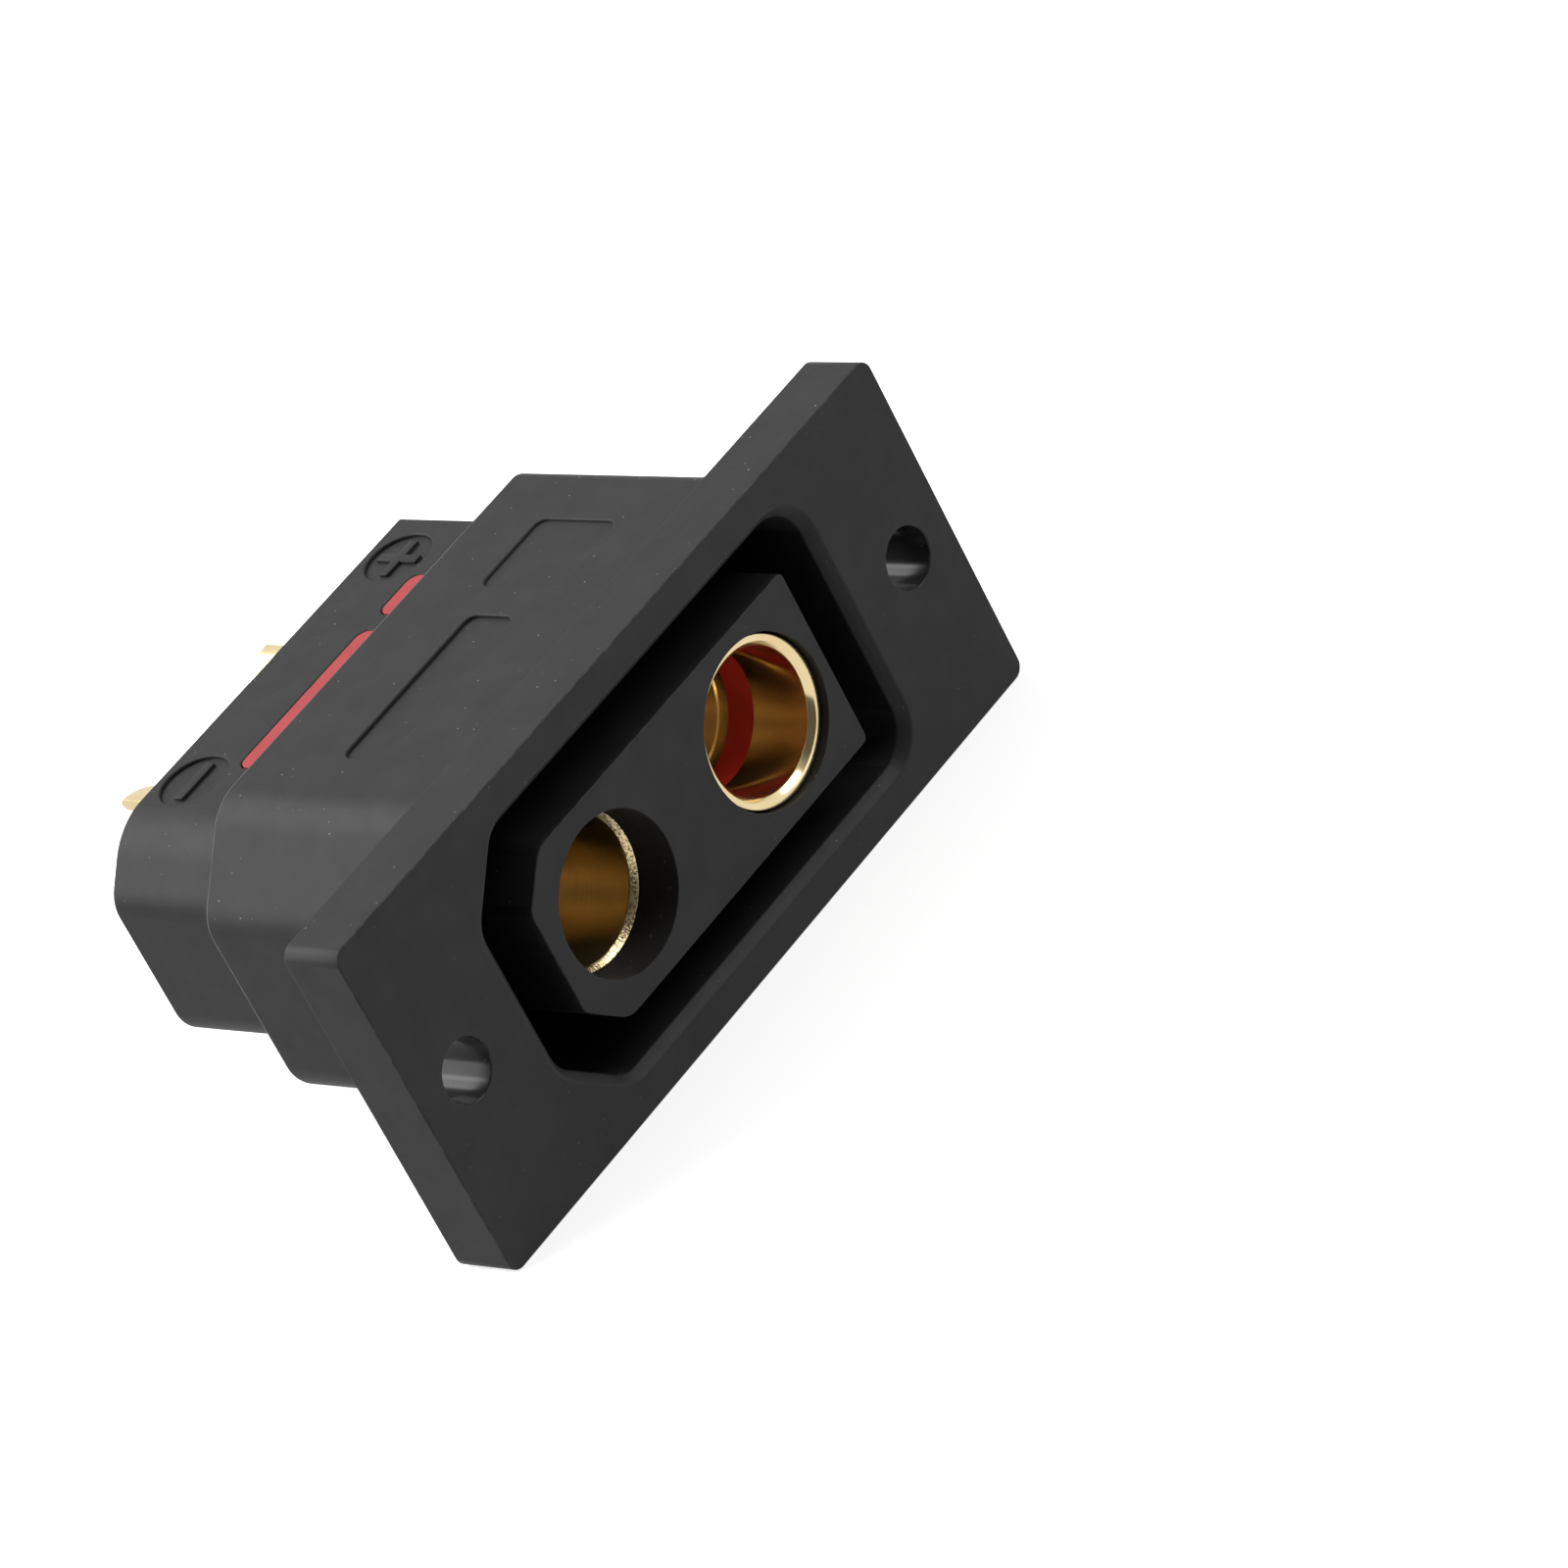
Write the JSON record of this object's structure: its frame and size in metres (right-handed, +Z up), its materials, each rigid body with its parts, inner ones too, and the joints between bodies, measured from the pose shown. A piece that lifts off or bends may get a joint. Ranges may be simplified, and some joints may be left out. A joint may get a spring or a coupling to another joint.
{
  "type": "high-current battery connector",
  "caption": "Panel-mount power socket with a keyed black housing, a flange with screw holes, gold-plated contact sockets, a pre-charge ring on the positive side and solder cups behind.",
  "frame": {"origin": "middle between the two screw holes, on the flange's rear face", "axes": "+X along the flange to the positive contact, +Y out of the rear to the solder cups, so the mating side faces -Y, +Z up to the side with the polarity signs"},
  "size_m": [0.0494, 0.0355, 0.0214],
  "materials": {
    "black_nylon": "fine moulded texture",
    "red_marker": "satin",
    "gold_plate": "gold plated, turned",
    "red_insulator": "satin",
    "chip": "matte"
  },
  "bodies": {
    "root": {"housing": "black_nylon", "short_marker": "red_marker", "long_marker": "red_marker", "negative_contact": "gold_plate", "positive_contact": "gold_plate", "precharge_ring": "gold_plate", "spacer_ring": "red_insulator", "precharge_resistor": "chip"}
  },
  "joints": []
}
